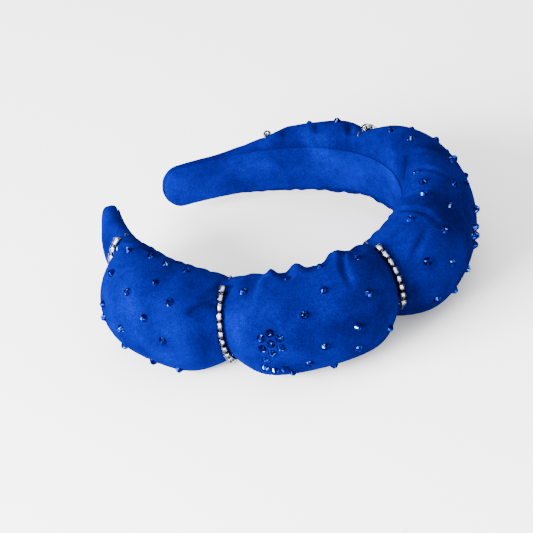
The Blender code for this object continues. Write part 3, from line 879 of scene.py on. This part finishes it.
PAD_BASE = 4.1
PAD_INSET = 4.4
PAD_END_GAP = 1.2
PAD_THINNEST = 8.0
PAD_SIDES = 40
PAD_STEP = 4.0
PADS = (("pad_near_end", "wadding_near_end"), ("pad_1", "wadding_1"), ("pad_2", "wadding_2"),
        ("pad_3", "wadding_3"), ("pad_4", "wadding_4"), ("pad_far_end", "wadding_far_end"))


def thick_enough(along):
    return float(cover_size(along)[0]) >= PAD_THINNEST


def make_pad(number, name, node):
    """The wadding of one puff, drawn in at the threads on either side."""
    start, end = PUFF_ENDS[number] + PAD_END_GAP, PUFF_ENDS[number + 1] - PAD_END_GAP
    stations = np.linspace(start, end, int((end - start) / PAD_STEP))
    stations = [station for station in stations if thick_enough(station)]
    degrees = np.linspace(-180.0, 180.0, PAD_SIDES)
    rings = []
    for along in stations:
        out, up = outline(along, degrees, inset=PAD_INSET, base=PAD_BASE)
        up = np.maximum(up + lift_at(along), REST_LEVEL + PAD_INSET) - lift_at(along)
        rings.append(place(along, out, up))
    pad = tube_piece(name, rings, WADDING)
    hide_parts(node)
    return pad


pads = [make_pad(number, *names) for number, names in enumerate(PADS)]
for pad in pads[:2]:
    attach(pad, "near_half")
for pad in pads[2:4]:
    bend_with_band(pad)
for pad in pads[4:]:
    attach(pad, "far_half")


# ---------------------------------------------------------------- threads and beads

THREAD_SIDES = 10
THREAD_ARC_END = 100.0
THREAD_POINTS = 160
THREAD_SINK = 0.7
THREAD_DIVE = 7.0
BEAD_SIDES = 20
BEAD_GAP = 0.22
SILVER_RADIUS = 0.95
SILVER_BORE = 0.5
ROW_BODIES = ("near_half", "near_half", None, "far_half", "far_half")


def lifted_arc(string, start, end, lift, count=240):
    """Points a little way off the cover's outline, as (out, up)."""
    degrees = np.linspace(start, end, count)
    points = np.stack(outline(string, degrees), axis=1)
    run = np.gradient(points, axis=0)
    run /= np.linalg.norm(run, axis=1, keepdims=True)
    turned = math.copysign(1.0, start - end) * np.stack([-run[:, 1], run[:, 0]], axis=1)
    return points + np.broadcast_to(lift, count)[:, None] * turned


def wall_up(along, out, side):
    """How high the cover's side stands at a distance out, above or below."""
    thick, up, flat, sag, _ = cover_size(along)
    middle = middle_out(thick)
    rise = math.sqrt(1.0 - ((middle - out) / (middle - 1.0)) ** 2)
    return side * (flat + (up - flat) * rise) - sag * rise


def thread_path(string, bead_arc):
    """The loop through the beads, in at both ends of their row and back above the strip."""
    turn_out = THREAD_OUT + THREAD_TURN
    degrees = np.linspace(THREAD_ARC_END, -THREAD_ARC_END, THREAD_POINTS)
    past = np.maximum(degrees - bead_arc[0], bead_arc[1] - degrees)
    lift = BEAD_LIFT - (BEAD_LIFT + THREAD_SINK) * smooth_step(past / THREAD_DIVE)
    arc = lifted_arc(string, THREAD_ARC_END, -THREAD_ARC_END, lift, THREAD_POINTS)
    arc = arc[arc[:, 0] > turn_out + THREAD_TURN / 2.0]
    top = wall_up(string, turn_out, 1.0) + THREAD_TURN + THREAD_RADIUS
    bottom = wall_up(string, turn_out, -1.0) - THREAD_TURN - THREAD_RADIUS
    inside = [(turn_out, bottom), (THREAD_OUT, bottom + THREAD_TURN), (THREAD_OUT, 0.0),
              (THREAD_OUT, top - THREAD_TURN), (turn_out, top)]
    return np.concatenate([arc, inside])


def rings_round(string, points, run, radii, sides):
    """Circles round points of the section at a string, square to their run."""
    across = np.stack([-run[:, 1], run[:, 0]], axis=1)
    turns = 2.0 * math.pi * np.arange(sides) / sides
    radii = radii[:, None]
    out = points[:, :1] + radii * across[:, :1] * np.cos(turns)
    up = points[:, 1:] + radii * across[:, 1:] * np.cos(turns)
    heading = float(heading_at(string))
    direction = np.array([-math.sin(heading), math.cos(heading), 0.0])
    rings = place(string, out, up)
    return rings + (radii * np.sin(turns))[:, :, None] * direction * MM


def loop_rings(string, points):
    """Rings of a thread that follows a closed line."""
    run = np.roll(points, -1, axis=0) - np.roll(points, 1, axis=0)
    run /= np.linalg.norm(run, axis=1, keepdims=True)
    return rings_round(string, points, run, np.full(len(points), THREAD_RADIUS), THREAD_SIDES)


def make_thread_row(number, string, bead_arc):
    """One thread, closed on itself."""
    rings = loop_rings(string, thread_path(string, bead_arc))
    rings = np.concatenate([rings, rings[:1]])
    faces = grid_faces(len(rings), THREAD_SIDES, closed=True)
    last = (len(rings) - 1) * THREAD_SIDES
    faces = [[corner % last for corner in face] for face in faces]
    thread = mesh_piece(f"thread_loop_{number}", rings[:-1].reshape(-1, 3), faces, THREAD)
    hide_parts(f"thread_{number}")
    return thread


# bead profiles: (share of the bead's length, radius in millimetres)
GLASS_BORE = SILVER_RADIUS + 0.02
GLASS_PROFILE = ((0.0, 1.0), (0.02, 1.45), (0.10, 1.78), (0.25, 1.98), (0.5, 2.03),
                 (0.75, 1.98), (0.90, 1.78), (0.98, 1.45), (1.0, 1.0),
                 (1.0, GLASS_BORE), (0.0, GLASS_BORE))
SILVER_PROFILE = ((0.11, SILVER_BORE), (0.11, SILVER_RADIUS), (0.5, SILVER_RADIUS),
                  (0.89, SILVER_RADIUS), (0.89, SILVER_BORE), (0.5, SILVER_BORE))
# the bands of the glass profile painted near black as painted shade: each bead's rounded rims and
# cut ends
GLASS_PAINTED_DARK_BANDS = (0, 1, 6, 7, 8, 10)


def turned_body(string, line, start, profile):
    """Rings of one bead, whose profile closes on itself round the bore."""
    share, radius = (np.array(values) for values in zip(*profile))
    ends = [start, start + BEAD_LENGTH - BEAD_GAP]
    reached = travelled(line)
    ends = np.stack([np.interp(ends, reached, line[:, axis]) for axis in (0, 1)], axis=1)
    points = ends[0] + share[:, None] * (ends[1] - ends[0])
    run = (ends[1] - ends[0]) / np.linalg.norm(ends[1] - ends[0])
    return rings_round(string, points, np.broadcast_to(run, points.shape), radius, BEAD_SIDES)


def joined_rings(name, bodies, material, painted_dark_bands=()):
    """One object from several rings of rings, each closed on itself. The bands of faces
    listed in the last argument are marked for painted shade: near-black rims and cut ends of a
    bead."""
    points, faces = [], []
    for rings in bodies:
        rows = len(rings)
        first = sum(len(block) for block in points)
        body = grid_faces(rows + 1, BEAD_SIDES, closed=True)
        size = rows * BEAD_SIDES
        faces += [[first + corner % size for corner in face] for face in body]
        points.append(rings.reshape(-1, 3))
    piece = mesh_piece(name, np.concatenate(points), faces, material)
    # painted shade marks: 1 on the listed rim and cut-end bands, which get near-black colour, 0
    # elsewhere
    bands = np.repeat(np.isin(np.arange(len(bodies[0])), painted_dark_bands).astype(float), BEAD_SIDES)
    painted_shade_marks = np.tile(bands, len(bodies))
    piece.data.attributes.new("edge", "FLOAT", "FACE").data.foreach_set("value", painted_shade_marks)
    return piece


def make_bead_row(number, string, arc):
    """Clear glass beads lined with silver, end to end on their thread."""
    line = lifted_arc(string, *arc, BEAD_LIFT)
    starts = [bead * BEAD_LENGTH for bead in range(int(travelled(line)[-1] / BEAD_LENGTH))]
    glass, tubes = ([turned_body(string, line, start, profile) for start in starts]
                    for profile in (GLASS_PROFILE, SILVER_PROFILE))
    glass = joined_rings(f"beads_{number}", glass, BEAD_GLASS, GLASS_PAINTED_DARK_BANDS)
    tubes = joined_rings(f"bead_silver_{number}", tubes, BEAD_SILVER)
    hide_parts(f"bead_row_{number}")
    return [glass, tubes]


for number, (string, arc, body) in enumerate(zip(STRINGS, BEAD_ARCS, ROW_BODIES), start=1):
    for piece in [make_thread_row(number, string, arc), *make_bead_row(number, string, arc)]:
        if body:
            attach(piece, body)
        else:
            bend_with_band(piece)


# ---------------------------------------------------------------- crystals

# stones that stand for CAD nodes: puff, fraction along it, angle round it
LOOSE_STONES = (
    (1, 0.34, 57), (1, 0.66, 68), (1, 0.52, 48), (1, 0.78, 52), (1, 0.34, 18), (1, 0.66, 28),
    (1, 0.50, 2), (1, 0.76, 6), (2, 0.14, 74), (2, 0.56, 60), (2, 0.44, 38), (2, 0.50, -2),
    (2, 0.42, -22), (2, 0.76, 38), (2, 0.66, 8), (2, 0.82, 84), (3, 0.20, 46), (3, 0.16, 9),
    (3, 0.30, 55), (3, 0.30, 87), (3, 0.42, 58), (3, 0.48, 38), (3, 0.56, 60))

# the rest of the scattered stones, on the same places round the band
MORE_STONES = (
    (0, 0.88, -16), (1, 0.31, 88), (1, 0.48, 97), (1, 0.62, 96), (1, 0.77, 95), (1, 0.33, -2),
    (1, 0.41, -41), (1, 0.62, -44), (1, 0.77, -46), (2, 0.39, 94), (2, 0.60, 100), (2, 0.34, -37),
    (2, 0.535, -48), (2, 0.65, -21), (2, 0.83, -21), (3, 0.09, 30), (3, 0.10, -32), (3, 0.15, 83),
    (3, 0.71, 92), (3, 0.71, 59), (3, 0.61, 47), (3, 0.47, 103), (3, 0.38, 93), (3, 0.42, 13),
    (3, 0.47, 0), (3, 0.275, -34), (3, 0.20, -46), (3, 0.84, 94), (3, 0.62, 12), (3, 0.74, 24),
    (3, 0.70, -14), (3, 0.86, 52), (3, 0.88, 10), (3, 0.56, -34), (3, 0.80, -40), (4, 0.30, 84),
    (4, 0.28, 40), (4, 0.36, 2), (4, 0.32, -40), (4, 0.62, 62), (4, 0.64, 14), (4, 0.70, -30))

FLOWER_RADIUS = 4.9
PETALS = 6
STEM = ((-8.8, -3.6), (-13.2, -5.0), (-14.8, -0.8), (-14.4, 3.6))
FLOWERS = ((2, 0.27, 12, STEM), (3, 0.35, -6, ()))
STONE_SINK = 0.18
STONE_TILT = 0.06
RAY_START = 80.0
PETAL_RAY_START = 12.0
BENDING_REACH = 30.0

# cut of a stone: height and radius as shares, number of corners, turn of the first in corners
STONE_CUT = ((0.0, 0.93, 16, 0.0), (0.12, 1.0, 16, 0.0), (0.24, 0.985, 16, 0.0),
             (0.66, 0.70, 8, 0.5), (1.0, 0.40, 8, 0.0))


def stone_points():
    points = []
    for height, radius, corners, first in STONE_CUT:
        for corner in range(corners):
            turn = 2.0 * math.pi * (corner + first) / corners
            points.append(Vector((radius * STONE_RADIUS * math.cos(turn),
                                  radius * STONE_RADIUS * math.sin(turn),
                                  height * STONE_HEIGHT)) * MM)
    return points


def make_stone(name, spot, normal):
    """A faceted flat-back stone standing on the cover, square to it, turned at random."""
    upright = Vector((0.0, 0.0, 1.0)).rotation_difference(normal).to_matrix()
    spin = Matrix.Rotation(rng.uniform(0.0, math.pi), 3, "Z")
    tilt = Matrix.Rotation(rng.normal(0.0, STONE_TILT), 3, "X")
    work = bmesh.new()
    for point in stone_points():
        work.verts.new(spot + upright @ (tilt @ (spin @ point)) - normal * STONE_SINK * MM)
    bmesh.ops.convex_hull(work, input=work.verts)
    mesh = bpy.data.meshes.new(name)
    bmesh.ops.recalc_face_normals(work, faces=work.faces)
    work.to_mesh(mesh)
    # a random value per face, which sets its painted brightness and painted glints in the crystal
    # material
    shares = rng.uniform(0.0, 1.0, len(mesh.polygons))
    mesh.attributes.new("facet_painted_light", "FLOAT", "FACE").data.foreach_set("value", shares)
    work.free()
    mesh.materials.append(CRYSTAL)
    stone = bpy.data.objects.new(name, mesh)
    bpy.context.scene.collection.objects.link(stone)
    return stone


def land(above, downwards):
    """Where a line from above meets the cover, and the cover's outward normal."""
    spot, normal, _, _ = COVER_TREE.ray_cast(above, downwards)
    if normal.dot(downwards) > 0.0:
        normal = -normal
    return spot, normal


def seat(puff, fraction, degrees):
    """The place on the cover at a puff, a fraction along it and an angle round it."""
    along = in_puff(puff, fraction)
    out, _, _, sag, _ = cover_size(along)
    centre = Vector(place(along, middle_out(out), -sag))
    turn = math.radians(degrees)
    heading = float(heading_at(along))
    level = Vector((math.cos(heading), math.sin(heading), 0.0))
    away = level * math.cos(turn) + Vector((0.0, 0.0, math.sin(turn)))
    return land(centre + away * RAY_START * MM, -away)


def hold_stone(stone, puff, fraction):
    """Stones close to the flexing middle keep their placement baked and stay unparented; others
    ride on a half.
    """
    if abs(in_puff(puff, fraction) - STRINGS[2]) < BENDING_REACH:
        bend_with_band(stone)
    else:
        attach(stone, "near_half" if puff < 3 else "far_half")


for number, spot in enumerate(LOOSE_STONES, start=1):
    stone = make_stone(f"crystal_{number:02d}", *seat(*spot))
    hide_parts(f"stone_{number:02d}")
    hold_stone(stone, *spot[:2])
for number, spot in enumerate(MORE_STONES, start=len(LOOSE_STONES) + 1):
    hold_stone(make_stone(f"crystal_{number:02d}", *seat(*spot)), *spot[:2])


def make_flower(number, puff, fraction, degrees, stem):
    """Petals round a centre stone, and a stem that runs down from it."""
    centre, normal = seat(puff, fraction, degrees)
    up = (Vector((0.0, 0.0, 1.0)) - normal * normal.z).normalized()
    side = up.cross(normal)
    places = {"centre": (0.0, 0.0)}
    for petal in range(PETALS):
        turn = 2.0 * math.pi * (petal + 0.5) / PETALS
        places[f"petal_{petal + 1}"] = (FLOWER_RADIUS * math.sin(turn),
                                        FLOWER_RADIUS * math.cos(turn))
    for index, rise_and_shift in enumerate(stem):
        places[f"stem_{index + 1}"] = rise_and_shift
    for name, (rise, shift) in places.items():
        above = centre + (up * rise + side * shift) * MM + normal * PETAL_RAY_START * MM
        stone = make_stone(f"blossom_{number}_{name}", *land(above, -normal))
        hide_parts(f"flower_{number}_{name}")
        hold_stone(stone, puff, fraction)


for number, flower in enumerate(FLOWERS, start=1):
    make_flower(number, *flower)


# ---------------------------------------------------------------- floor, light and camera

FLOOR_HALF = 6.0
LIGHTS_AIM = Vector((0.0, 0.0, 0.02))
WORLD_STRENGTH = 1.75
CAMERA_AT = (853.1, -1070.0, 871.6)
CAMERA_TARGET = (-61.8, -11.0, -13.7)
CAMERA_ROLL = math.radians(-11.12)
CAMERA_LENS = 237.5


def make_floor():
    material, tree, shader = new_material("floor")
    colour = ramp(tree, noise(tree, 3.0), [(0.3, grey(0.94)), (0.7, grey(0.96))])
    tree.links.new(colour, shader.inputs["Base Color"])
    shader.inputs["Roughness"].default_value = 0.9
    corners = [(x * FLOOR_HALF, y * FLOOR_HALF, 0.0)
               for x, y in ((-1, -1), (1, -1), (1, 1), (-1, 1))]
    floor = mesh_piece("floor", corners, [(0, 1, 2, 3)], material, smooth=False)


def make_light(name, location, size, power):
    """A soft white area light that faces the middle of the band."""
    light = bpy.data.lights.new(name, "AREA")
    light.energy = power
    light.size = size
    lamp = bpy.data.objects.new(name, light)
    lamp.location = location
    aim = LIGHTS_AIM - lamp.location
    lamp.rotation_euler = aim.to_track_quat("-Z", "Y").to_euler()
    bpy.context.scene.collection.objects.link(lamp)


def make_surroundings(strength):
    world = bpy.data.worlds.new("studio")
    world.use_nodes = True
    background = world.node_tree.nodes["Background"]
    background.inputs["Color"].default_value = (1.0, 1.0, 1.0, 1.0)
    background.inputs["Strength"].default_value = strength
    bpy.context.scene.world = world


def make_camera(location, target, roll, lens):
    """The view; the places are in millimetres from the crown's face."""
    camera = bpy.data.cameras.new("camera")
    camera.lens = lens
    camera.sensor_width = 36.0
    camera.clip_start = 0.05
    holder = bpy.data.objects.new("camera", camera)
    holder.location = (Vector(location) + Vector(ORIGIN)) * MM
    aim = ((Vector(target) + Vector(ORIGIN)) * MM - holder.location).to_track_quat("-Z", "Y")
    turn = Matrix.Rotation(roll, 4, "Z")
    holder.matrix_world = Matrix.Translation(holder.location) @ aim.to_matrix().to_4x4() @ turn
    bpy.context.scene.collection.objects.link(holder)
    bpy.context.scene.camera = holder


make_floor()
make_surroundings(WORLD_STRENGTH)
make_light("front_softbox", (-0.38, -1.1, 0.30), 1.0, 200.0)
make_light("fill_right", (0.9, -0.9, 0.5), 0.7, 10.0)
make_light("top_softbox", (0.1, 0.2, 1.2), 1.0, 8.0)
make_camera(CAMERA_AT, CAMERA_TARGET, CAMERA_ROLL, CAMERA_LENS)
